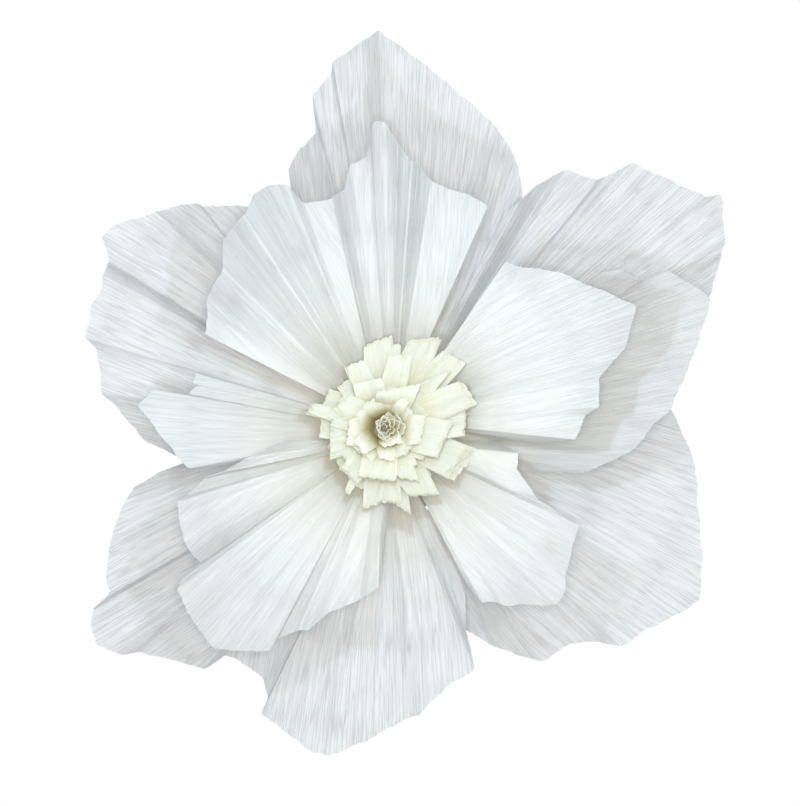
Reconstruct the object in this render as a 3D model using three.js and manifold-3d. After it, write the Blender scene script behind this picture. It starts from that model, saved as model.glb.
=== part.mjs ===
// Giant paper flower for a wall. A stiff card disc carries two rings of pleated crepe petals
// and, in the middle, a rolled crepe strip whose cut tabs are spread open.
// All sizes are in millimetres. While the bloom is built, x is right, y is up and z comes out of the wall.
import * as THREE from 'three';
import Module from 'manifold-3d';

const DISC_DIAMETER = 112;
const DISC_THICKNESS = 3;
const PAPER_DEPTH = 0.8; // heavy crepe, measured straight out from the wall through its leaning folds
const GLUE_LINE = 0.3; // left between two pieces that are glued together

// Each petal's foot is a flat tab on the disc, given by its inner end, its length and its width.
const DISC_RADIUS = DISC_DIAMETER / 2;
const OUTER_FOOT = { radius: 0.48 * DISC_RADIUS, length: 0.34 * DISC_RADIUS, width: 0.32 * DISC_RADIUS };
const INNER_FOOT = { radius: 0.21 * DISC_RADIUS, length: 0.05 * DISC_RADIUS, width: 0.12 * DISC_RADIUS };

const ROLL_CENTRE = [-4, 2]; // the roll was glued a little off the middle
const ROLL_FOOT_DIAMETER = 11;
const ROLL_DIAMETER = 26;
const ROLL_WAIST = 26; // height at which the roll swells from its foot
const ROLL_HEIGHT = 70;
const ROLL_HOLE_DIAMETER = 7;
const ROLL_HOLE_DEPTH = 22;
const TAB_THICKNESS = 2; // a stack of crepe layers cut together
const TAB_FOOT_HEIGHT = 52;

const WHITE_PAPER = 0xf3f4f3;
const CREAM_PAPER = 0xf0ebcd;
const GREY_CARD = 0xcfc8bb;

// A petal fans out from its foot. Each rim point is [x, y, height above the wall], and every rim point ends one fold,
// so that a high point between two low ones is a ridge. spring says how steeply the petal leaves the disc.
const OUTER_PETALS = {
  outer_petal_top: {
    foot: 86,
    spring: 1.0,
    rim: [
      [88, 114, 22], [84, 132, 26], [86, 152, 32], [83, 171, 35], [75, 189, 30], [64, 201, 38],
      [32, 229, 34], [14, 243, 36], [-7, 258, 40], [-17, 254, 28], [-37, 238, 37], [-38, 231, 33],
      [-50, 217, 36], [-48, 193, 31], [-59, 184, 17], [-67, 172, 12], [-65, 158, 10], [-58, 142, 10],
    ],
  },
  outer_petal_upper_right: {
    foot: 38,
    spring: 1.8,
    rim: [
      [195, 62, 20], [209, 90, 30], [214, 111, 35], [216, 121, 40], [214, 152, 40], [205, 151, 36],
      [175, 164, 40], [156, 172, 45], [138, 163, 41], [135, 162, 34], [114, 168, 40], [106, 165, 34],
      [94, 157, 46], [84, 148, 54], [74, 139, 56],
    ],
  },
  outer_petal_lower_right: {
    foot: 328,
    spring: 1.0,
    rim: [
      [41, -122, 9], [52, -133, 14], [69, -142, 20], [98, -151, 28], [119, -139, 24], [136, -138, 25],
      [151, -141, 30], [165, -131, 27], [189, -119, 29], [201, -110, 32], [203, -84, 30],
      [201, -59, 28], [199, -23, 27], [189, 3, 22], [184, 13, 20], [171, 25, 14],
    ],
  },
  outer_petal_bottom: {
    foot: 265,
    spring: 1.8,
    rim: [
      [-108, -148, 20], [-98, -151, 21], [-82, -163, 26], [-79, -174, 30], [-83, -183, 38],
      [-65, -198, 31], [-53, -208, 32], [-40, -211, 37], [-16, -202, 32], [5, -190, 34],
      [19, -183, 42], [26, -176, 39], [37, -166, 36], [55, -155, 33], [49, -128, 32], [49, -103, 32],
      [46, -82, 28],
    ],
  },
  outer_petal_lower_left: {
    foot: 214,
    spring: 1.2,
    rim: [
      [-118, -16, 14], [-136, -22, 20], [-151, -28, 25], [-166, -37, 28], [-175, -51, 31],
      [-182, -76, 35], [-183, -97, 40], [-181, -104, 42], [-182, -107, 44], [-194, -117, 25],
      [-195, -126, 24], [-191, -140, 28], [-174, -146, 30], [-163, -145, 24], [-137, -151, 26],
      [-121, -156, 26], [-105, -146, 12],
    ],
  },
  outer_petal_left: {
    foot: 154,
    spring: 1.2,
    rim: [
      [-84, 140, 14], [-92, 146, 18], [-108, 147, 20], [-123, 146, 20], [-126, 148, 27],
      [-144, 145, 23], [-152, 141, 34], [-180, 133, 32], [-186, 125, 35], [-182, 109, 33],
      [-185, 107, 25], [-186, 100, 34], [-186, 93, 35], [-193, 81, 35], [-197, 60, 37], [-190, 52, 33],
      [-188, 38, 31], [-187, 24, 33], [-177, 14, 27], [-161, -7, 18], [-141, -17, 10],
    ],
  },
};

const INNER_PETALS = {
  inner_petal_upper_left: {
    foot: 133,
    spring: 2.0,
    rim: [
      [-36, 145, 92], [-46, 142, 94], [-54, 142, 96], [-63, 152, 103], [-75, 153, 97], [-84, 148, 91],
      [-90, 133, 103], [-104, 120, 90], [-103, 100, 102], [-115, 81, 89], [-113, 72, 94],
      [-114, 60, 98],
    ],
  },
  inner_petal_top: {
    foot: 86,
    spring: 1.7,
    rim: [
      [61, 140, 104], [45, 147, 108], [26, 153, 112], [18, 166, 101], [14, 166, 107], [5, 179, 98],
      [-3, 191, 105], [-10, 191, 102], [-14, 170, 98], [-24, 166, 98], [-28, 151, 93], [-37, 145, 84],
      [-41, 138, 77],
    ],
  },
  inner_petal_right_front: {
    foot: 39,
    spring: 2.2,
    rim: [
      [70, -6, 50], [94, -7, 84], [115, -5, 106], [120, 10, 110], [129, 15, 112], [128, 32, 114],
      [145, 53, 118], [150, 77, 125], [129, 87, 116], [114, 93, 113], [105, 98, 113], [84, 101, 106],
      [71, 104, 111],
    ],
  },
  inner_petal_right_rear: {
    foot: 352,
    spring: 1.2,
    rim: [
      [84, -26, 46], [124, -27, 62], [136, -21, 67], [153, -13, 72], [167, 5, 77], [176, 13, 80],
      [189, 43, 79], [194, 58, 82], [201, 83, 87], [189, 92, 83], [174, 100, 87], [158, 95, 80],
      [144, 101, 88], [132, 99, 86], [117, 88, 76],
    ],
  },
  inner_petal_lower_right: {
    foot: 308,
    spring: 2.0,
    rim: [
      [49, -97, 82], [58, -107, 87], [67, -107, 86], [72, -109, 87], [85, -108, 90], [104, -108, 97],
      [109, -99, 95], [110, -88, 92], [117, -58, 99], [92, -42, 92], [80, -24, 85], [80, -14, 83],
      [70, -8, 60],
    ],
  },
  inner_petal_lower_left: {
    foot: 228,
    spring: 2.0,
    rim: [
      [-66, -6, 70], [-87, -16, 92], [-103, -25, 102], [-115, -29, 95], [-126, -40, 93],
      [-132, -44, 98], [-128, -69, 93], [-119, -83, 83], [-128, -91, 93], [-132, -98, 98],
      [-120, -122, 95], [-109, -134, 98], [-97, -136, 101], [-74, -136, 96], [-70, -130, 91],
      [-56, -123, 95], [-50, -124, 92], [-37, -112, 92], [-19, -106, 87], [-7, -97, 95], [-5, -81, 86],
      [-1, -45, 60],
    ],
  },
  inner_petal_left: {
    foot: 177,
    spring: 1.2,
    rim: [
      [-121, 36, 82], [-124, 30, 84], [-120, 29, 82], [-126, 23, 85], [-147, 26, 98], [-156, 16, 99],
      [-141, -4, 97], [-125, -23, 97], [-112, -22, 88],
    ],
  },
};

// The roll's tabs, turn by turn from the outside in: at is a direction in degrees, reach is measured from the roll's
// middle.
const ROLL_TURNS = [
  {
    height: 71,
    tabs: [
      { at: 5, reach: 54, width: 20 }, { at: 24, reach: 56, width: 22 }, { at: 44, reach: 50, width: 18 },
      { at: 62, reach: 56, width: 18 }, { at: 92, reach: 51, width: 18 }, { at: 118, reach: 44, width: 16 },
      { at: 143, reach: 43, width: 16 }, { at: 167, reach: 45, width: 16 }, { at: 192, reach: 43, width: 16 },
      { at: 217, reach: 42, width: 16 }, { at: 242, reach: 44, width: 12 }, { at: 262, reach: 49, width: 14 },
      { at: 283, reach: 51, width: 14 }, { at: 307, reach: 51, width: 19 }, { at: 333, reach: 51, width: 24 },
    ],
  },
  {
    height: 83,
    tabs: [
      { at: 24, reach: 40, width: 18 }, { at: 50, reach: 37, width: 16 }, { at: 77, reach: 42, width: 15 },
      { at: 104, reach: 37, width: 15 }, { at: 132, reach: 35, width: 16 }, { at: 161, reach: 40, width: 16 },
      { at: 203, reach: 35, width: 18 }, { at: 234, reach: 34, width: 16 }, { at: 266, reach: 34, width: 22 },
      { at: 305, reach: 38, width: 18 }, { at: 346, reach: 42, width: 20 },
    ],
  },
  {
    height: 92,
    tabs: [
      { at: 15, reach: 26, width: 14 }, { at: 67, reach: 25, width: 22 }, { at: 123, reach: 27, width: 16 },
      { at: 166, reach: 25, width: 14 }, { at: 205, reach: 22, width: 14 }, { at: 250, reach: 24, width: 16 },
      { at: 300, reach: 24, width: 16 },
    ],
  },
];

const DISC_FRONT = DISC_THICKNESS;
const SEAT = DISC_FRONT + GLUE_LINE;

// How far along a petal, from the end of its foot to its rim, the rows of points lie.
const PETAL_ROWS = [0, 0.12, 0.28, 0.5, 0.75, 1];
const TAB_ROWS = [0, 0.3, 0.5, 0.7, 1];

// A closed sheet around a grid of points, given as columns of equal length. Each point also has half, the step from
// the sheet's middle to its front.
function sheet(columns) {
  const across = columns.length;
  const along = columns[0].length;
  const positions = [];
  for (const side of [1, -1]) {
    for (const { point, half } of columns.flat()) {
      positions.push(point.x + side * half.x, point.y + side * half.y, point.z + side * half.z);
    }
  }
  const back = across * along;
  const faces = [];
  for (let i = 0; i < across - 1; i++) {
    for (let j = 0; j < along - 1; j++) {
      const a = i * along + j;
      const b = a + along;
      faces.push(a, a + 1, b, b, a + 1, b + 1);
      faces.push(back + a, back + b, back + a + 1, back + b, back + b + 1, back + a + 1);
    }
  }
  const border = [];
  for (let j = 0; j < along; j++) border.push(j);
  for (let i = 1; i < across; i++) border.push(i * along + along - 1);
  for (let j = along - 2; j >= 0; j--) border.push((across - 1) * along + j);
  for (let i = across - 2; i > 0; i--) border.push(i * along);
  border.forEach((a, k) => {
    const b = border[(k + 1) % border.length];
    faces.push(b, a, back + a, b, back + a, back + b);
  });
  const solid = new THREE.BufferGeometry();
  solid.setAttribute('position', new THREE.Float32BufferAttribute(positions, 3));
  solid.setIndex(faces);
  return solid;
}

// Points of one petal: straight folds run from the foot to the rim, flat on the disc at first and then rising.
function petalColumns({ foot, spring, rim }, ring) {
  const direction = THREE.MathUtils.degToRad(foot);
  const outward = new THREE.Vector2(Math.cos(direction), Math.sin(direction));
  const sideways = new THREE.Vector2(-outward.y, outward.x);
  const half = new THREE.Vector3(0, 0, PAPER_DEPTH / 2);
  const seat = SEAT + half.z;
  return rim.map(([x, y, height], i) => {
    const before = rim[Math.max(i - 1, 0)][2];
    const after = rim[Math.min(i + 1, rim.length - 1)][2];
    const general = (before + 2 * height + after) / 4;
    const pleat = height - general;
    const offset = ring.width * (i / (rim.length - 1) - 0.5);
    const start = outward.clone().multiplyScalar(ring.radius).addScaledVector(sideways, offset);
    const end = new THREE.Vector2(x, y);
    const footShare = ring.length / start.distanceTo(end);
    const column = [{ point: new THREE.Vector3(start.x, start.y, seat), half }];
    for (const row of PETAL_ROWS) {
      const plan = start.clone().lerp(end, footShare + (1 - footShare) * row);
      const rise = 1 - (1 - row) ** spring;
      const lift = seat + (general - seat) * rise + pleat * Math.sqrt(row);
      column.push({ point: new THREE.Vector3(plan.x, plan.y, lift), half });
    }
    return column;
  });
}

// Points of one tab of the roll: up along the roll, over, and out to a square end.
function tabColumns({ at, reach, width }, height) {
  const angle = THREE.MathUtils.degToRad(at);
  const outward = new THREE.Vector2(Math.cos(angle), Math.sin(angle));
  const rootRadius = ROLL_DIAMETER / 2 - TAB_THICKNESS;
  const path = new THREE.QuadraticBezierCurve(
    new THREE.Vector2(rootRadius, TAB_FOOT_HEIGHT),
    new THREE.Vector2(rootRadius + 0.2 * (reach - rootRadius), height),
    new THREE.Vector2(reach, height),
  );
  return [-0.5, 0.5].map((side) => TAB_ROWS.map((row) => {
    const point = path.getPoint(row);
    const aside = side * width * (0.55 + 0.45 * row);
    const tangent = path.getTangent(row).multiplyScalar(TAB_THICKNESS / 2);
    return {
      point: new THREE.Vector3(
        ROLL_CENTRE[0] + outward.x * point.x - outward.y * aside,
        ROLL_CENTRE[1] + outward.y * point.x + outward.x * aside,
        point.y,
      ),
      half: new THREE.Vector3(-outward.x * tangent.y, -outward.y * tangent.y, tangent.x),
    };
  }));
}

// The roll's own body: a narrow foot on the disc, a swelling above the petals' feet and a hole down its middle.
function rollBody() {
  const foot = ROLL_FOOT_DIAMETER / 2;
  const radius = ROLL_DIAMETER / 2;
  const hole = ROLL_HOLE_DIAMETER / 2;
  const profile = [
    [0, SEAT], [foot, SEAT], [foot, ROLL_WAIST], [radius, ROLL_WAIST + radius - foot],
    [radius, ROLL_HEIGHT], [hole, ROLL_HEIGHT], [hole, ROLL_HEIGHT - ROLL_HOLE_DEPTH],
    [0, ROLL_HEIGHT - ROLL_HOLE_DEPTH],
  ].map(([r, z]) => new THREE.Vector2(r, z));
  const body = new THREE.LatheGeometry(profile, 32);
  body.rotateX(Math.PI / 2);
  body.translate(ROLL_CENTRE[0], ROLL_CENTRE[1], 0);
  return body;
}

const wasm = await Module();
wasm.setup();

function toManifold(geometry) {
  const mesh = new wasm.Mesh({
    numProp: 3,
    vertProperties: new Float32Array(geometry.getAttribute('position').array),
    triVerts: new Uint32Array(geometry.getIndex().array),
  });
  mesh.merge();
  return new wasm.Manifold(mesh);
}

function toGeometry(manifold) {
  const mesh = manifold.getMesh();
  const geometry = new THREE.BufferGeometry();
  geometry.setAttribute('position', new THREE.Float32BufferAttribute(mesh.vertProperties, 3));
  geometry.setIndex(new THREE.Uint32BufferAttribute(mesh.triVerts, 1));
  return geometry;
}

const bloom = new THREE.Group();
bloom.name = 'giant_paper_flower';

function addPiece(name, geometry, colour) {
  const piece = new THREE.Mesh(geometry, new THREE.MeshStandardMaterial({ color: colour, roughness: 0.9 }));
  piece.name = name;
  bloom.add(piece);
}

const disc = new THREE.CylinderGeometry(DISC_RADIUS, DISC_RADIUS, DISC_THICKNESS, 72);
disc.rotateX(Math.PI / 2);
disc.translate(0, 0, DISC_THICKNESS / 2);
addPiece('backing_disc', disc, GREY_CARD);

for (const [name, petal] of Object.entries(OUTER_PETALS)) {
  addPiece(name, sheet(petalColumns(petal, OUTER_FOOT)), WHITE_PAPER);
}
for (const [name, petal] of Object.entries(INNER_PETALS)) {
  addPiece(name, sheet(petalColumns(petal, INNER_FOOT)), WHITE_PAPER);
}

let roll = toManifold(rollBody());
for (const { height, tabs } of ROLL_TURNS) {
  for (const tab of tabs) {
    roll = roll.add(toManifold(sheet(tabColumns(tab, height))));
  }
}
addPiece('centre_fringe_roll', toGeometry(roll), CREAM_PAPER);

// The finished flower hangs on a wall: x right, z up, its face towards -y, the disc's back on y = 0.
bloom.rotation.x = Math.PI / 2;

export default bloom;
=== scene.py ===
import bpy
import math
import numpy as np
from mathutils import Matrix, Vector


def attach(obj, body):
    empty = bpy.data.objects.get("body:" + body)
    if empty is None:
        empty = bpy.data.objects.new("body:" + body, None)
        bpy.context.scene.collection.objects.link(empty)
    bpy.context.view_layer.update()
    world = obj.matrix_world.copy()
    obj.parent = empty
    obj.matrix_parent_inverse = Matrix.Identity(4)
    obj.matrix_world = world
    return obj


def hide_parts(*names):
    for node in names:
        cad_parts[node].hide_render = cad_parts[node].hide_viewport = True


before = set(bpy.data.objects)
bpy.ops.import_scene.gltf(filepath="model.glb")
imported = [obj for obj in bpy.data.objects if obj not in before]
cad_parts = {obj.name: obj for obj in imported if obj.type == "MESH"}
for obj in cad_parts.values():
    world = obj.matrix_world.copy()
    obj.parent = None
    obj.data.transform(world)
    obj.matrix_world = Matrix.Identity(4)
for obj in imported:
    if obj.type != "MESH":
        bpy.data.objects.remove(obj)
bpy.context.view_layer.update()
print("frame loaded:", len(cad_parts), "pieces")

anyPhase = 6.28   # a random phase lies between 0 and this


# Shapes are worked out in millimetres on the bloom itself: x right, y up, z out of the wall.
# toWall turns that into the wall frame in metres: x right, z up, the bloom facing -y.
def toWall(x, y, z):
    return np.stack([x, -z, y], axis=-1) / 1000.0


def softened(values, step, radius):
    # Gaussian mean over radius mm along the rim, with the line carried on past both ends so that the ends stay put
    reach = max(1, int(round(3 * radius / step)))
    offsets = np.arange(-reach, reach + 1) * step
    kernel = np.exp(-0.5 * (offsets / radius) ** 2)
    kernel /= kernel.sum()
    front = 2 * values[0] - values[reach:0:-1]
    back = 2 * values[-1] - values[-2:-reach - 2:-1]
    return np.convolve(np.concatenate([front, values, back]), kernel, mode="valid")


waveDrift = {"share": 0.12, "spread": 5.7}   # how much a wavelength wanders, and over how many of itself


def waves(position, table, rng):
    # Sum of sines with random phases, one for each (wavelength, height) of the table; each wavelength wanders a little
    total = np.zeros_like(position)
    for length, height in table:
        slow = 1 + waveDrift["share"] * np.sin(position / (waveDrift["spread"] * length) + rng.uniform(0, anyPhase))
        total = total + height * np.sin(2 * np.pi * position * slow / length + rng.uniform(0, anyPhase))
    return total


def gridFaces(columns, rows, start=0):
    # Quads of a columns by rows grid whose points are stored column by column
    corner = (np.arange(columns - 1)[:, None] * rows + np.arange(rows - 1)[None, :]).ravel() + start
    return np.stack([corner, corner + 1, corner + rows + 1, corner + rows], axis=1)


def buildMesh(name, points, quads, vectors):
    # points, quads and named vector attributes straight into a mesh
    mesh = bpy.data.meshes.new(name)
    mesh.vertices.add(len(points))
    mesh.vertices.foreach_set("co", points.astype(np.float32).ravel())
    mesh.loops.add(quads.size)
    mesh.loops.foreach_set("vertex_index", quads.astype(np.int32).ravel())
    mesh.polygons.add(len(quads))
    mesh.polygons.foreach_set("loop_start", np.arange(0, quads.size, 4, dtype=np.int32))
    mesh.polygons.foreach_set("use_smooth", np.ones(len(quads), dtype=bool))
    mesh.update(calc_edges=True)
    for label, values in vectors.items():
        layer = mesh.attributes.new(label, "FLOAT_VECTOR", "POINT")
        layer.data.foreach_set("vector", values.astype(np.float32).ravel())
    mesh.validate()
    rimEdge = np.empty(len(mesh.loops), dtype=np.int32)
    mesh.loops.foreach_get("edge_index", rimEdge)
    sharp = mesh.attributes.new("sharp_edge", "BOOLEAN", "EDGE")     # a cut edge has one face only and stays crisp
    sharp.data.foreach_set("value", np.bincount(rimEdge, minlength=len(mesh.edges)) == 1)
    return mesh


def addSheet(name, mesh, thickness, material, node):
    # one paper piece: its surface thickened evenly about the middle, standing for its CAD node
    piece = bpy.data.objects.new(name, mesh)
    bpy.context.scene.collection.objects.link(piece)
    mesh.materials.append(material)
    solid = piece.modifiers.new("paper", "SOLIDIFY")
    solid.thickness = thickness / 1000
    solid.offset = 0
    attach(piece, "root")
    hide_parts(node)
    return piece


paperFinish = {"roughness": 0.92, "gloss": 0.2}   # dry, with hardly a shine


def crepeMaterial(name, look):
    # Matt crepe. A noise stretched along the paper's grain has a wrinkle wherever it passes through its middle value,
    # so the wrinkles are thin, long and wavy; a coarse and a fine set give bump and a darker colour, which is painted
    # shade in the wrinkles. The third value of the grain attribute leads over to a warm colour of painted light and
    # shade:
    # a glow of bounced light on the petals near the middle of the bloom, and a shade at the roots of the centre's
    # tabs.
    material = bpy.data.materials.new(name)
    material.use_nodes = True
    nodes, links = material.node_tree.nodes, material.node_tree.links
    paper = nodes["Principled BSDF"]
    grain = nodes.new("ShaderNodeAttribute")
    grain.attribute_name = "grain"
    levels = []
    for scale in (look["coarse"], look["fine"]):
        stretch = nodes.new("ShaderNodeVectorMath")
        stretch.operation = "MULTIPLY"
        stretch.inputs[1].default_value = scale
        noise = nodes.new("ShaderNodeTexNoise")
        noise.inputs["Scale"].default_value = 1.0
        noise.inputs["Detail"].default_value = 0.0        # more would break the wrinkles up
        noise.inputs["Roughness"].default_value = 0.5
        noise.inputs["Distortion"].default_value = look["waver"]
        middle = nodes.new("ShaderNodeMath")
        middle.operation = "SUBTRACT"
        middle.inputs[1].default_value = 0.5
        off = nodes.new("ShaderNodeMath")
        off.operation = "ABSOLUTE"
        level = nodes.new("ShaderNodeMapRange")
        level.interpolation_type = "SMOOTHSTEP"
        level.inputs["From Max"].default_value = look["width"]
        links.new(grain.outputs["Vector"], stretch.inputs[0])
        links.new(stretch.outputs[0], noise.inputs["Vector"])
        links.new(noise.outputs["Fac"], middle.inputs[0])
        links.new(middle.outputs[0], off.inputs[0])
        links.new(off.outputs[0], level.inputs["Value"])
        levels.append(level.outputs["Result"])
    both = nodes.new("ShaderNodeMix")
    both.inputs["Factor"].default_value = look["fineShare"]
    links.new(levels[0], both.inputs["A"])
    links.new(levels[1], both.inputs["B"])
    # painted shade: the wrinkle lines take a darker colour, standing for the shade in their grooves
    tint = nodes.new("ShaderNodeValToRGB")
    tint.color_ramp.elements[0].position, tint.color_ramp.elements[0].color = 0.0, (*look["paintedCreaseShade"], 1)
    tint.color_ramp.elements[1].position, tint.color_ramp.elements[1].color = 1.0, (*look["light"], 1)
    links.new(both.outputs["Result"], tint.inputs["Fac"])
    # painted light and shade: the grain's third value mixes in a warm colour, a painted glow of bounced light on the
    # petals near the middle and a painted warm shade at the roots of the centre's tabs
    depth = nodes.new("ShaderNodeSeparateXYZ")
    links.new(grain.outputs["Vector"], depth.inputs[0])
    colour = nodes.new("ShaderNodeMix")
    colour.data_type = "RGBA"                             # its colour sockets are inputs 6 and 7 and output 2
    colour.inputs[7].default_value = (*look["paintedBounceAndShade"], 1)
    links.new(depth.outputs["Z"], colour.inputs["Factor"])
    links.new(tint.outputs["Color"], colour.inputs[6])
    bump = nodes.new("ShaderNodeBump")
    bump.inputs["Strength"].default_value = look["strength"]
    bump.inputs["Distance"].default_value = look["depth"] / 1000
    links.new(both.outputs["Result"], bump.inputs["Height"])
    paper.inputs["Roughness"].default_value = paperFinish["roughness"]
    paper.inputs["Specular IOR Level"].default_value = paperFinish["gloss"]
    links.new(colour.outputs[2], paper.inputs["Base Color"])
    links.new(bump.outputs["Normal"], paper.inputs["Normal"])
    glow = nodes.new("ShaderNodeBsdfTranslucent")         # light that comes through the paper
    mix = nodes.new("ShaderNodeMixShader")
    mix.inputs["Fac"].default_value = look["through"]
    links.new(colour.outputs[2], glow.inputs["Color"])
    links.new(paper.outputs[0], mix.inputs[1])
    links.new(glow.outputs[0], mix.inputs[2])
    links.new(mix.outputs[0], nodes["Material Output"].inputs["Surface"])
    return material


disc = {"radius": 56.0, "thickness": 3.0, "glueLine": 0.3, "tabLift": 0.4}   # glued tabs lie on its front
# where petals start, in mm: radius from the middle, length and width of the glued tab, and how far the painted warm
# glow of bounced light reaches
outerFoot = {"radius": 0.48 * disc["radius"], "length": 0.12 * disc["radius"], "width": 0.32 * disc["radius"],
             "paintedBounceReach": 100.0}
innerFoot = {"radius": 0.21 * disc["radius"], "length": 0.05 * disc["radius"], "width": 0.12 * disc["radius"],
             "paintedBounceReach": 110.0}

# what the paper of a petal does, in mm
crepe = {
    "thickness": 0.45,
    "columnStep": 0.8,    # along the rim
    "rows": 36,
    "rowCrowding": 0.9,   # below 1 the rows lie closer towards the rim
    "cornerRound": 0.7,   # softening of the cut outline
    "foldRound": 0.6,     # softening of each fold at the rim
    "pleatGrowth": 0.75,  # how a pleat rises from foot to rim, as a power
    "bulge": 1.0,         # how far the paper between two folds may bow
    "bulgeWidth": 14.0,   # a panel narrower than this bows less
    "ripple": [(5.3, 0.05), (8.9, 0.10), (14.3, 0.18)],   # wavelength, height of the small gathers
    "flutter": [(19.0, 0.25), (31.0, 0.4)],               # waves that grow towards the rim
    "flutterGrowth": 3,
    "ragged": [(4.3, 0.07), (9.1, 0.18), (23.0, 0.4)],    # how unevenly the rim was cut
    "raggedGrowth": 6,
    "hairStep": 8.0,      # one hair crease for so much rim
    "hairHeight": 0.75,
    "hairLean": (-4, 4),         # how far it runs aside from foot to rim
    "hairWidth": (0.9, 2.2),
    "hairMiddle": (0.35, 0.9),   # share of the fold where a crease is deepest
    "hairHalf": (0.2, 0.5),      # share of the fold that it takes to run out
    "sag": 0.7,                  # slow swell along the folds
    "swell": [(17.0, 0.05, 1.0), (9.5, -0.09, 0.6)],      # length, slant and share of the swell's waves
    "footGrain": 0.45,           # share of the grain's width that is left at the foot
    "grainShift": 11,            # so that no two petals wrinkle alike
    "paintedBounceStart": 45.0,           # from the middle to here the painted warm glow of bounced light is full
}

# Each petal: foot is the direction of its glued tab in degrees, spring how steeply it leaves the disc, fold how deep
# its pleats are and gather how crumpled it is (both 1 where not given). Each rim point is x, y and height above the
# wall where one fold ends.
outerPetals = {
    "outer_petal_top": {
        "foot": 86, "spring": 1.6,
        "rim": [
            [88, 114, 22], [84, 132, 26], [86, 152, 32], [83, 171, 35], [75, 189, 30], [64, 201, 38],
            [32, 229, 34], [14, 243, 36], [-7, 258, 40], [-17, 254, 28], [-37, 238, 37],
            [-38, 231, 33], [-50, 217, 36], [-48, 193, 31], [-59, 184, 17], [-67, 172, 12],
            [-65, 158, 10], [-58, 142, 10],
        ],
    },
    "outer_petal_upper_right": {
        "foot": 38, "spring": 4.2,
        "rim": [
            [195, 62, 20], [209, 90, 30], [214, 111, 35], [216, 121, 40], [214, 152, 40],
            [205, 151, 36], [175, 164, 40], [156, 172, 45], [138, 163, 41], [135, 162, 34],
            [114, 168, 40], [106, 165, 34], [94, 157, 46], [84, 148, 54], [74, 139, 56],
        ],
    },
    "outer_petal_lower_right": {
        "foot": 328, "spring": 1.5,
        "rim": [
            [41, -122, 9], [52, -133, 14], [69, -142, 20], [98, -151, 28], [119, -139, 24],
            [136, -138, 25], [151, -141, 30], [165, -131, 27], [189, -119, 29], [201, -110, 32],
            [203, -84, 30], [201, -59, 28], [199, -23, 27], [189, 3, 22], [184, 13, 20], [171, 25, 14],
        ],
    },
    "outer_petal_bottom": {
        "foot": 265, "spring": 4.2,
        "rim": [
            [-108, -148, 20], [-98, -151, 21], [-82, -163, 26], [-79, -174, 30], [-83, -183, 38],
            [-65, -198, 31], [-53, -208, 32], [-40, -211, 37], [-16, -202, 32], [5, -190, 34],
            [19, -183, 42], [26, -176, 39], [37, -166, 36], [55, -155, 33], [49, -128, 32],
            [49, -103, 32], [46, -82, 28],
        ],
    },
    "outer_petal_lower_left": {
        "foot": 214, "spring": 1.6,
        "rim": [
            [-118, -16, 14], [-136, -22, 20], [-151, -28, 25], [-166, -37, 28], [-175, -51, 31],
            [-182, -76, 35], [-183, -97, 40], [-181, -104, 42], [-182, -107, 44], [-194, -117, 25],
            [-195, -126, 24], [-191, -140, 28], [-174, -146, 30], [-163, -145, 24], [-137, -151, 26],
            [-121, -156, 26], [-105, -146, 12],
        ],
    },
    "outer_petal_left": {
        "foot": 154, "spring": 1.6,
        "rim": [
            [-84, 140, 14], [-92, 146, 18], [-108, 147, 20], [-123, 146, 20], [-126, 148, 27],
            [-144, 145, 23], [-152, 141, 34], [-180, 133, 32], [-186, 125, 35], [-182, 109, 33],
            [-185, 107, 25], [-186, 100, 34], [-186, 93, 35], [-193, 81, 35], [-197, 60, 37],
            [-190, 52, 33], [-188, 38, 31], [-187, 24, 33], [-177, 14, 27], [-161, -7, 18],
            [-141, -17, 10],
        ],
    },
}

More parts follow.
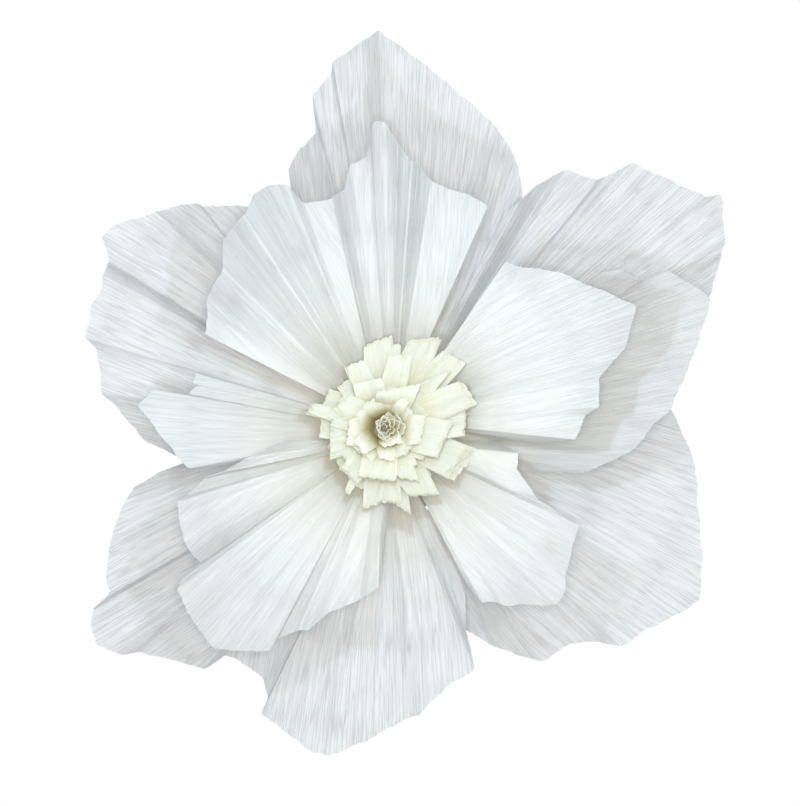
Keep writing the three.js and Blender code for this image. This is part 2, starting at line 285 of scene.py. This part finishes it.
innerPetals = {
    "inner_petal_upper_left": {
        "foot": 133, "spring": 2.5, "fold": 1.5,
        "rim": [
            [-36, 145, 92], [-46, 142, 94], [-54, 142, 96], [-63, 152, 103], [-75, 153, 97],
            [-84, 148, 91], [-90, 133, 103], [-104, 120, 90], [-103, 100, 102], [-115, 81, 89],
            [-113, 72, 94], [-114, 60, 98],
        ],
    },
    "inner_petal_top": {
        "foot": 86, "spring": 2.2, "fold": 1.3,
        "rim": [
            [61, 140, 104], [45, 147, 108], [26, 153, 112], [18, 166, 101], [14, 166, 107],
            [5, 179, 98], [-3, 191, 105], [-10, 191, 102], [-14, 170, 98], [-24, 166, 98],
            [-28, 151, 93], [-37, 145, 84], [-41, 138, 77],
        ],
    },
    "inner_petal_right_front": {
        "foot": 39, "spring": 2.2, "gather": 0.4,
        "rim": [
            [70, -6, 50], [94, -7, 84], [115, -5, 106], [120, 10, 110], [129, 15, 112], [128, 32, 114],
            [145, 53, 118], [150, 77, 125], [129, 87, 116], [114, 93, 113], [105, 98, 113],
            [84, 101, 106], [71, 104, 111],
        ],
    },
    "inner_petal_right_rear": {
        "foot": 352, "spring": 1.2, "gather": 0.4,
        "rim": [
            [84, -26, 46], [124, -27, 62], [136, -21, 67], [153, -13, 72], [167, 5, 77], [176, 13, 80],
            [189, 43, 79], [194, 58, 82], [201, 83, 87], [189, 92, 83], [174, 100, 87], [158, 95, 80],
            [144, 101, 88], [132, 99, 86], [117, 88, 76],
        ],
    },
    "inner_petal_lower_right": {
        "foot": 308, "spring": 2.0, "gather": 0.6,
        "rim": [
            [49, -97, 82], [58, -107, 87], [67, -107, 86], [72, -109, 87], [85, -108, 90],
            [104, -108, 97], [109, -99, 95], [110, -88, 92], [117, -58, 99], [92, -42, 92],
            [80, -24, 85], [80, -14, 83], [70, -8, 60],
        ],
    },
    "inner_petal_lower_left": {
        "foot": 228, "spring": 2.5, "fold": 1.4,
        "rim": [
            [-66, -6, 70], [-87, -16, 92], [-103, -25, 102], [-115, -29, 95], [-126, -40, 93],
            [-132, -44, 98], [-128, -69, 93], [-119, -83, 83], [-128, -91, 93], [-132, -98, 98],
            [-120, -122, 95], [-109, -134, 98], [-97, -136, 101], [-74, -136, 96], [-70, -130, 91],
            [-56, -123, 95], [-50, -124, 92], [-37, -112, 92], [-19, -106, 87], [-7, -97, 95],
            [-5, -81, 86], [-1, -45, 60],
        ],
    },
    "inner_petal_left": {
        "foot": 177, "spring": 1.2, "fold": 1.3, "gather": 0.5,
        "rim": [
            [-121, 36, 82], [-124, 30, 84], [-120, 29, 82], [-126, 23, 85], [-147, 26, 98],
            [-156, 16, 99], [-141, -4, 97], [-125, -23, 97], [-112, -22, 88],
        ],
    },
}


def hairCreases(along, lifted, rng):
    # Fine creases: each is a sharp peak exp(-|d| / width) in the distance d across, and a triangle along the fold
    count = int(along[-1] / crepe["hairStep"])
    place, lean = rng.uniform(0, along[-1], count), rng.uniform(*crepe["hairLean"], count)
    width, height = rng.uniform(*crepe["hairWidth"], count), rng.uniform(-1, 1, count) * crepe["hairHeight"]
    middle, half = rng.uniform(*crepe["hairMiddle"], count), rng.uniform(*crepe["hairHalf"], count)
    across = along[:, None, None] - place - lean * (lifted[..., None] - middle)
    taper = np.clip(1 - np.abs(lifted[..., None] - middle) / half, 0, 1)
    return (height * np.exp(-np.abs(across) / width) * taper).sum(axis=-1)


def petalSurface(petal, ring, rng):
    # Straight folds from foot to rim. Along a fold the petal is flat for the length of its glued tab, then its height
    # is seat + (general - seat) * (1 - (1 - u) ** spring) + pleat * u ** pleatGrowth: general is the height averaged
    # over the neighbouring folds, pleat what this fold adds to it, taken fold times. Between two folds the paper bows
    # as a parabola, and gathers, flutter and swell are sums of sines on top; bow, gathers and hair creases are taken
    # gather times.
    rim = np.array(petal["rim"], float)
    count = len(rim)
    gather = petal.get("gather", 1)
    height = rim[:, 2]
    before = np.concatenate([height[:1], height[:-1]])
    after = np.concatenate([height[1:], height[-1:]])
    general = (before + 2 * height + after) / 4
    pleat = (height - general) * petal.get("fold", 1)
    lengths = np.linalg.norm(np.diff(rim, axis=0), axis=1)
    arc = np.concatenate([[0], np.cumsum(lengths)])
    columns = int(arc[-1] / crepe["columnStep"]) + 1
    along = np.linspace(0, arc[-1], columns)
    step = along[1] - along[0]
    pick = lambda values, radius: softened(np.interp(along, arc, values), step, radius)
    endX = pick(rim[:, 0], crepe["cornerRound"])
    endY = pick(rim[:, 1], crepe["cornerRound"])
    general = pick(general, crepe["foldRound"])
    pleat = pick(pleat, crepe["foldRound"])
    fold = np.interp(along, arc, np.arange(count))          # 0 at the first fold, 1 at the second and so on
    facet = np.minimum(fold.astype(int), count - 2)
    bow = rng.uniform(-1, 1, count - 1) * crepe["bulge"] * np.minimum(1, lengths / crepe["bulgeWidth"])
    bulge = softened(bow[facet] * 4 * (fold - facet) * (1 - fold + facet), step, crepe["foldRound"])
    direction = math.radians(petal["foot"])
    outX, outY = math.cos(direction), math.sin(direction)
    share = fold / (count - 1) - 0.5
    startX = outX * ring["radius"] - outY * ring["width"] * share
    startY = outY * ring["radius"] + outX * ring["width"] * share
    foldLength = np.hypot(endX - startX, endY - startY)
    ragged = 1 + waves(along, crepe["ragged"], rng) / foldLength
    footShare = (ring["length"] / foldLength)[:, None]

    u = np.linspace(0, 1, crepe["rows"]) ** crepe["rowCrowding"]
    u = np.concatenate([[-1, -0.5], u])[None, :]            # two rows before the tab's end
    lifted = np.clip(u, 0, 1)
    part = np.where(u < 0, (1 + u) * footShare, footShare + (1 - footShare) * lifted)
    part = part * (1 + (ragged[:, None] - 1) * lifted ** crepe["raggedGrowth"])
    x = startX[:, None] + (endX - startX)[:, None] * part
    y = startY[:, None] + (endY - startY)[:, None] * part
    seat = disc["thickness"] + disc["glueLine"] + disc["tabLift"]
    z = seat + (general[:, None] - seat) * (1 - (1 - lifted) ** petal["spring"])
    z = z + pleat[:, None] * lifted ** crepe["pleatGrowth"]
    distance = foldLength[:, None] * lifted
    swell = np.zeros_like(z)
    for length, slant, amount in crepe["swell"]:
        swell += crepe["sag"] * amount * np.sin(distance / length + slant * along[:, None] + rng.uniform(0, anyPhase))
    z = z + (waves(along, crepe["ripple"], rng) + bulge)[:, None] * lifted * gather
    z = z + waves(along, crepe["flutter"], rng)[:, None] * lifted ** crepe["flutterGrowth"] + swell * lifted
    z = z + hairCreases(along, np.broadcast_to(lifted, x.shape), rng) * gather
    across = (along - arc[-1] / 2)[:, None] * (crepe["footGrain"] + (1 - crepe["footGrain"]) * part)
    across = across + crepe["grainShift"] * petal["foot"]
    # painted light: a warm glow of bounced light, full up to a radius and fading outwards, passed to the material as
    # the grain's third value
    paintedBounce = np.clip(1 - (np.hypot(x, y) - crepe["paintedBounceStart"]) / ring["paintedBounceReach"], 0, 1) ** 2
    return x, y, z, np.stack([across, foldLength[:, None] * part, paintedBounce], axis=-1)


# light is the paper between its wrinkles; the next colour is painted shade in the wrinkles and the one after it a
# painted warm glow of bounced light in the depths of the bloom; through is the share of light that passes; coarse and
# fine are wrinkles in a mm, across and along the grain
# painted light: the outer and inner petals are the same paper, but the outer colour is made lighter and bluer and the
# inner one darker, standing for how differently light falls on them
outerLookPaintedLighter = {
    "light": (0.85, 0.867, 0.88), "paintedCreaseShade": (0.68, 0.69, 0.70), "paintedBounceAndShade": (0.975, 0.95, 0.89), "through": 0.3,
    "coarse": (0.50, 0.018, 0.0), "fine": (1.0, 0.035, 0.0), "fineShare": 0.3, "waver": 0.15, "width": 0.08,
    "strength": 0.65, "depth": 0.4,
}
innerLookPaintedDarker = {
    "light": (0.805, 0.82, 0.823), "paintedCreaseShade": (0.71, 0.72, 0.72), "paintedBounceAndShade": (0.97, 0.955, 0.89), "through": 0.35,
    "coarse": (0.50, 0.018, 0.0), "fine": (1.0, 0.035, 0.0), "fineShare": 0.3, "waver": 0.15, "width": 0.08,
    "strength": 0.7, "depth": 0.3,
}
outerCrepePaintedLighter = crepeMaterial("outerCrepePaintedLighter", outerLookPaintedLighter)
innerCrepePaintedDarker = crepeMaterial("innerCrepePaintedDarker", innerLookPaintedDarker)

for group, ring, petalCrepe in ((outerPetals, outerFoot, outerCrepePaintedLighter), (innerPetals, innerFoot, innerCrepePaintedDarker)):
    for node, petal in group.items():
        rng = np.random.default_rng(petal["foot"])
        x, y, z, grain = petalSurface(petal, ring, rng)
        mesh = buildMesh(node + "_paper", toWall(x, y, z).reshape(-1, 3), gridFaces(*x.shape),
                         {"grain": grain.reshape(-1, 3)})
        addSheet(node + "_paper", mesh, crepe["thickness"], petalCrepe, node)
print("petals made:", len(outerPetals) + len(innerPetals))


# The centre, in mm: each tab is given by the two corners of its cut end, x, y and height each, and its layers of crepe
roll = {
    "centre": (-4.0, 2.0), "thickness": 0.45, "rows": 16, "columns": 17,
    "seed": 12,
    "rootRadius": 9.0, "rootHeight": 60.0,          # where the tabs leave the stalk
    "rootShare": 0.35, "rootStep": 0.4,             # at most this share of their reach, and a step out for each layer
    "crestReach": (0.15, 0.4), "crestRise": (0, 4),   # where they bend over: share of the way out, rise above the end
    "rootWidth": (3, 15), "crestWidth": (5, 24),    # what is added to the tab's width there, and the most it may be
    "layerDrop": 1.3, "layerStep": 0.9, "layerShuffle": 0.8,   # a further layer lies lower, further out and aside
    "cup": 1.6, "cupLevel": 0.4,                    # bow across a tab, and how far its middle goes the other way
    "frill": 0.7, "frillShare": (0.4, 1), "frillWidth": (7, 11),   # waves at the cut end
    "ragged": 0.35, "raggedOften": (2.3, 1.1),      # unevenness of the cut
    "grainLength": 50, "layerGrain": 60, "reachGrain": 7,   # so that no two layers wrinkle alike
    "under": [(14, 38.0, 74.0, 18.0), (12, 31.0, 80.0, 17.0), (9, 20.0, 84.0, 14.0)],   # tabs, reach, height, width
    "underTurn": 0.25, "underReach": (0.9, 1.08), "underHeight": (-2, 1), "underLayers": 2,   # and how these vary
    "tabs": [
        # the outer turn, from the top right round to the right
        [32, 57, 75, 13, 55, 77, 3], [7, 54, 77, 0, 53, 76, 2], [0, 58, 75, -16, 52, 76, 3],
        [-16, 44, 79, -27, 40, 79, 3], [-47, 16, 81, -50, 11, 80, 4], [-37, -4, 81, -37, -16, 81, 3],
        [-26, -41, 76, -28, -37, 76, 1], [-6, -44, 75, -17, -48, 74, 2], [7, -44, 76, -5, -44, 76, 2],
        [13, -52, 72, 4, -46, 73, 2], [30, -39, 75, 11, -40, 76, 3], [34, -28, 77, 49, -10, 75, 5],
        [48, -23, 71, 56, -12, 71, 2], [46, -3, 79, 47, 15, 79, 3], [52, 16, 81, 43, 30, 85, 3],
        [48, 42, 77, 34, 50, 77, 2],
        # the next turn
        [37, 37, 85, 26, 33, 85, 2], [14, 46, 83, 0, 46, 84, 2], [-6, 33, 85, -23, 29, 83, 2],
        [-24, 22, 85, -34, 13, 85, 2], [-33, 15, 83, -39, 9, 82, 2], [-33, 8, 85, -38, 4, 81, 1],
        [-20, -33, 80, -29, -23, 81, 3], [4, -31, 85, -19, -28, 85, 2], [18, -31, 81, 6, -29, 83, 2],
        [28, -16, 85, 38, 6, 85, 3],
        # round the hole
        [19, 28, 89, -8, 23, 90, 2], [-25, 7, 87, -27, -9, 87, 1], [-22, -6, 89, -16, -14, 89, 2],
        [3, -19, 87, -6, -17, 87, 1], [8, -7, 90, -3, -10, 90, 1], [18, -8, 87, 21, 9, 87, 2],
        [12, 18, 91, 8, 21, 91, 1],
    ],
}
# the crumpled turns round the hole: waves are height, how often by angle, and start
coil = {
    "hole": 2.0, "pitch": 1.8, "turns": 4.2, "lean": 0.6, "top": 88.0, "foot": 78.0, "columns": 480, "rows": 10,
    "footShare": 0.6,                                  # radius at the foot
    "zigzag": [(0.9, 5.3, 0), (0.5, 11.7, 1)], "sway": (0.7, 1.9),
    "calmRadius": 5,                                   # creases are full past this radius
    "edge": [(1.6, 1.7, 2), (1.1, 4.9, 0)], "sink": 0.15,   # the top edge sinks from the hole outwards
    "grain": (8, 40),                                  # across and along, for the wrinkles
}


def tabSurface(tab, layer, rng):
    # One layer of a cut tab. Each column is the curve (1-v)^2 root + 2v(1-v) crest + v^2 end: root lies on the roll,
    # crest above it and a little outside, end on the line between the two corners. Along the surface's normal a
    # parabola cups it and a sine wave frills it towards the end.
    centre = np.array(roll["centre"])
    first, last = np.array(tab[0:3], float), np.array(tab[3:6], float)
    out = (first + last)[:2] / 2 - centre
    out = out / np.hypot(*out)
    shuffle = rng.uniform(-roll["layerShuffle"], roll["layerShuffle"], 2)
    shift = np.append(shuffle + out * roll["layerStep"], -roll["layerDrop"]) * layer
    first, last = first + shift, last + shift
    reach = np.hypot(*((first + last)[:2] / 2 - centre))
    side = np.array([-out[1], out[0]])
    if (last - first)[:2] @ side < 0:
        first, last = last, first
    width = np.linalg.norm(last - first)
    w = np.linspace(-0.5, 0.5, roll["columns"])[:, None]
    v = np.linspace(0, 1, roll["rows"])[None, :]
    rootR = min(roll["rootRadius"], roll["rootShare"] * reach) + roll["rootStep"] * layer
    crestR = rootR + rng.uniform(*roll["crestReach"]) * (reach - rootR)
    crestZ = max(first[2], last[2]) + rng.uniform(*roll["crestRise"])
    rootW, crestW = (min(width + more, most) for more, most in (roll["rootWidth"], roll["crestWidth"]))
    cut = roll["ragged"] * sum(np.sin(w * width * often + rng.uniform(0, 6)) for often in roll["raggedOften"])
    parts = [(1 - v) ** 2, 2 * v * (1 - v), v ** 2]
    place = []
    for axis in (0, 1):
        root = centre[axis] + out[axis] * rootR + side[axis] * w * rootW
        crest = centre[axis] + out[axis] * crestR + side[axis] * w * crestW
        end = first[axis] + (last - first)[axis] * (w + 0.5) + out[axis] * cut
        place.append(parts[0] * root + parts[1] * crest + parts[2] * end)
    endZ = first[2] + (last[2] - first[2]) * (w + 0.5)
    z = parts[0] * roll["rootHeight"] + parts[1] * crestZ + parts[2] * endZ
    slopeR = 2 * (1 - v) * (crestR - rootR) + 2 * v * (reach - crestR)
    slopeZ = 2 * (1 - v) * (crestZ - roll["rootHeight"]) + 2 * v * (endZ - crestZ)
    size = np.hypot(slopeR, slopeZ)
    frills = max(1, round(width / rng.uniform(*roll["frillWidth"])))
    push = rng.uniform(-1, 1) * roll["cup"] * (4 * w ** 2 - roll["cupLevel"]) * v
    frill = rng.uniform(*roll["frillShare"]) * roll["frill"]
    push = push + frill * np.sin(2 * np.pi * frills * w + rng.uniform(0, anyPhase)) * v ** 2
    x = place[0] - push * out[0] * slopeZ / size
    y = place[1] - push * out[1] * slopeZ / size
    z = z + push * slopeR / size
    across = w * width + roll["layerGrain"] * layer + roll["reachGrain"] * reach
    # painted shade: the third value, full at the root and nought at the cut end, gives the warm shade at the tab's
    # root
    across, down, depth = np.broadcast_arrays(across, v * roll["grainLength"], (1 - v) ** 2)
    return x, y, z, np.stack([across, down, depth], axis=-1)


def coilSurface():
    # The turns round the hole: radius grows evenly with the angle and folds in and out as triangle waves; the
    # turns are moved to the right as they grow, so they lie close on the left, and the top edge dips and rises
    turn = np.linspace(0, 2 * np.pi * coil["turns"], coil["columns"])[:, None]
    v = np.linspace(0, 1, coil["rows"])[None, :]
    plain = coil["hole"] + coil["pitch"] * turn / (2 * np.pi)
    zigzag = lambda often, start: 2 * np.arcsin(np.sin(often * turn + start)) / np.pi
    creases = sum(height * zigzag(often, start) for height, often, start in coil["zigzag"])
    creases = creases + coil["sway"][0] * np.sin(coil["sway"][1] * turn)
    creases = creases * np.minimum(1, plain / coil["calmRadius"])
    r = plain * (coil["footShare"] + (1 - coil["footShare"]) * v) + creases * v
    top = coil["top"] + sum(height * np.sin(often * turn + start) for height, often, start in coil["edge"])
    top = top - coil["sink"] * turn
    z = coil["foot"] + (top - coil["foot"]) * v
    x = roll["centre"][0] + coil["lean"] * (plain - coil["hole"]) + r * np.cos(turn)
    y = roll["centre"][1] + r * np.sin(turn)
    x, y, z, turn, v = np.broadcast_arrays(x, y, z, turn, v)
    # painted shade: the third value, full at the foot of the turns, gives their warm shade there
    return x, y, z, np.stack([turn * coil["grain"][0], v * coil["grain"][1], (1 - v) ** 2], axis=-1)


# painted shade: in the cream the colour after light is shade painted into the wrinkles, and the one after that a warm
# shade painted at the roots of the tabs and in the hole
creamLook = {
    "light": (0.90, 0.905, 0.855), "paintedCreaseShade": (0.85, 0.83, 0.67), "paintedBounceAndShade": (0.97, 0.83, 0.35), "through": 0.5,
    "coarse": (0.62, 0.04, 0.0), "fine": (1.1, 0.1, 0.0), "fineShare": 0.4, "waver": 0.25, "width": 0.08,
    "strength": 0.5, "depth": 0.25,
}
creamCrepe = crepeMaterial("creamCrepe", creamLook)

points, quads, grains, used = [], [], [], 0
rng = np.random.default_rng(roll["seed"])
tabs = list(roll["tabs"])
for count, reach, height, width in roll["under"]:   # the tabs that lie under those seen from the front
    wander = rng.uniform(-roll["underTurn"], roll["underTurn"], count)
    for turn in (np.arange(count) + wander) * 2 * np.pi / count:
        far = reach * rng.uniform(*roll["underReach"])
        x, y = roll["centre"][0] + far * math.cos(turn), roll["centre"][1] + far * math.sin(turn)
        halfX, halfY = -width / 2 * math.sin(turn), width / 2 * math.cos(turn)
        firstZ, lastZ = height + rng.uniform(*roll["underHeight"], 2)
        tabs.append([x - halfX, y - halfY, firstZ, x + halfX, y + halfY, lastZ, roll["underLayers"]])
sheets = [tabSurface(tab, layer, rng) for tab in tabs for layer in range(tab[6])]
for x, y, z, grain in sheets + [coilSurface()]:
    points.append(toWall(x, y, z).reshape(-1, 3))
    grains.append(grain.reshape(-1, 3))
    quads.append(gridFaces(*x.shape, start=used))
    used += x.size
mesh = buildMesh("centre_fringe_paper", np.concatenate(points), np.concatenate(quads),
                 {"grain": np.concatenate(grains)})
addSheet("centre_fringe_paper", mesh, roll["thickness"], creamCrepe, "centre_fringe_roll")
print("centre rolled:", len(sheets), "layers of tabs")

# grey board of the disc: pressed fibre, flecked
board = {
    "dark": (0.44, 0.40, 0.33), "pale": (0.58, 0.54, 0.46), "fleckFrom": 0.35, "fleckTo": 0.65,
    "fibres": 700, "fineness": 5, "press": 0.25, "pressDepth": 0.0003, "roughness": 0.88,
}
greyBoard = bpy.data.materials.new("greyBoard")
greyBoard.use_nodes = True
nodes, links = greyBoard.node_tree.nodes, greyBoard.node_tree.links
face = nodes["Principled BSDF"]
face.inputs["Roughness"].default_value = board["roughness"]
coordinate = nodes.new("ShaderNodeTexCoord")
fibre = nodes.new("ShaderNodeTexNoise")
fibre.inputs["Scale"].default_value = board["fibres"]
fibre.inputs["Detail"].default_value = board["fineness"]
shade = nodes.new("ShaderNodeValToRGB")
dark, pale = shade.color_ramp.elements
dark.position, dark.color = board["fleckFrom"], (*board["dark"], 1)
pale.position, pale.color = board["fleckTo"], (*board["pale"], 1)
press = nodes.new("ShaderNodeBump")
press.inputs["Strength"].default_value = board["press"]
press.inputs["Distance"].default_value = board["pressDepth"]
links.new(coordinate.outputs["Object"], fibre.inputs["Vector"])
links.new(fibre.outputs["Fac"], shade.inputs["Fac"])
links.new(fibre.outputs["Fac"], press.inputs["Height"])
links.new(shade.outputs["Color"], face.inputs["Base Color"])
links.new(press.outputs["Normal"], face.inputs["Normal"])
for discSlot in bpy.data.objects["backing_disc"].material_slots:
    discSlot.material = greyBoard
print("disc faced with grey board")

# in metres
studio = {
    "cameraDistance": 1.5,      # from the wall
    "aim": (0.0065, 0.01755),   # x and z at the middle of the picture
    "lens": 101.0, "sensor": 36.0,
    "floorHeight": -1.1, "floorSize": 4.0, "floorColour": (0.82, 0.82, 0.82), "floorRoughness": 0.9,
    "skyLevel": 0.725,          # even light from the room
    "skyColour": (0.925, 0.96, 1.0),
    "lampAim": (0, -0.05, 0),
    "window": {"place": (0.40, -1.40, 0.90), "width": 0.7, "watts": 3.7, "colour": (1.0, 1.0, 1.0)},
    # at the camera
    "flash": {"place": (0.0065, -1.45, 0.01755), "width": 0.25, "watts": 8.3, "colour": (1.0, 0.95, 0.84)},
    # a small lamp close in front of the middle: the inner petals' shadows fall outwards on the outer ones
    "bulb": {"place": (0.0, -0.30, 0.04), "width": 0.015, "watts": 0.24, "colour": (0.62, 0.82, 1.0)},
}
scene = bpy.context.scene
camera = bpy.data.objects.new("camera", bpy.data.cameras.new("camera"))
camera.data.lens = studio["lens"]
camera.data.sensor_width = studio["sensor"]
camera.location = (studio["aim"][0], -studio["cameraDistance"], studio["aim"][1])
camera.rotation_euler = (math.pi / 2, 0, 0)
scene.collection.objects.link(camera)
scene.camera = camera

for name in ("window", "flash", "bulb"):
    setting = studio[name]
    lamp = bpy.data.objects.new(name, bpy.data.lights.new(name, "AREA"))
    lamp.data.energy = setting["watts"]
    lamp.data.color = setting["colour"]
    lamp.data.size = setting["width"]
    lamp.location = setting["place"]
    toAim = Vector(studio["lampAim"]) - Vector(setting["place"])
    lamp.rotation_euler = toAim.to_track_quat("-Z", "Y").to_euler()
    lamp.visible_camera = False
    scene.collection.objects.link(lamp)

# the sky lights the bloom evenly, and is white where the camera or a mirror-like surface looks at it
world = bpy.data.worlds.new("studio")
scene.world = world
world.use_nodes = True
nodes, links = world.node_tree.nodes, world.node_tree.links
sky = nodes["Background"]
sky.inputs["Color"].default_value = (*studio["skyColour"], 1)
sky.inputs["Strength"].default_value = studio["skyLevel"]
white = nodes.new("ShaderNodeBackground")
white.inputs["Color"].default_value = (1, 1, 1, 1)
white.inputs["Strength"].default_value = 1.0
path = nodes.new("ShaderNodeLightPath")
seen = path.outputs["Is Camera Ray"]
for other in ("Is Glossy Ray", "Is Transmission Ray"):
    either = nodes.new("ShaderNodeMath")
    either.operation = "MAXIMUM"
    links.new(seen, either.inputs[0])
    links.new(path.outputs[other], either.inputs[1])
    seen = either.outputs[0]
choose = nodes.new("ShaderNodeMixShader")
links.new(seen, choose.inputs["Fac"])
links.new(sky.outputs[0], choose.inputs[1])
links.new(white.outputs[0], choose.inputs[2])
links.new(choose.outputs[0], nodes["World Output"].inputs["Surface"])

# pale floor well below the wall flower
half, floorHeight = studio["floorSize"] / 2, studio["floorHeight"]
floorMesh = bpy.data.meshes.new("floor")
floorCorners = [(-half, -half, floorHeight), (half, -half, floorHeight), (half, half, floorHeight),
                (-half, half, floorHeight)]
floorMesh.from_pydata(floorCorners, [], [(0, 1, 2, 3)])
floor = bpy.data.objects.new("floor", floorMesh)
scene.collection.objects.link(floor)
paleFloor = bpy.data.materials.new("paleFloor")
paleFloor.use_nodes = True
floorFace = paleFloor.node_tree.nodes["Principled BSDF"]
floorFace.inputs["Base Color"].default_value = (*studio["floorColour"], 1)
floorFace.inputs["Roughness"].default_value = studio["floorRoughness"]
floorMesh.materials.append(paleFloor)

scene.view_settings.view_transform = "Standard"
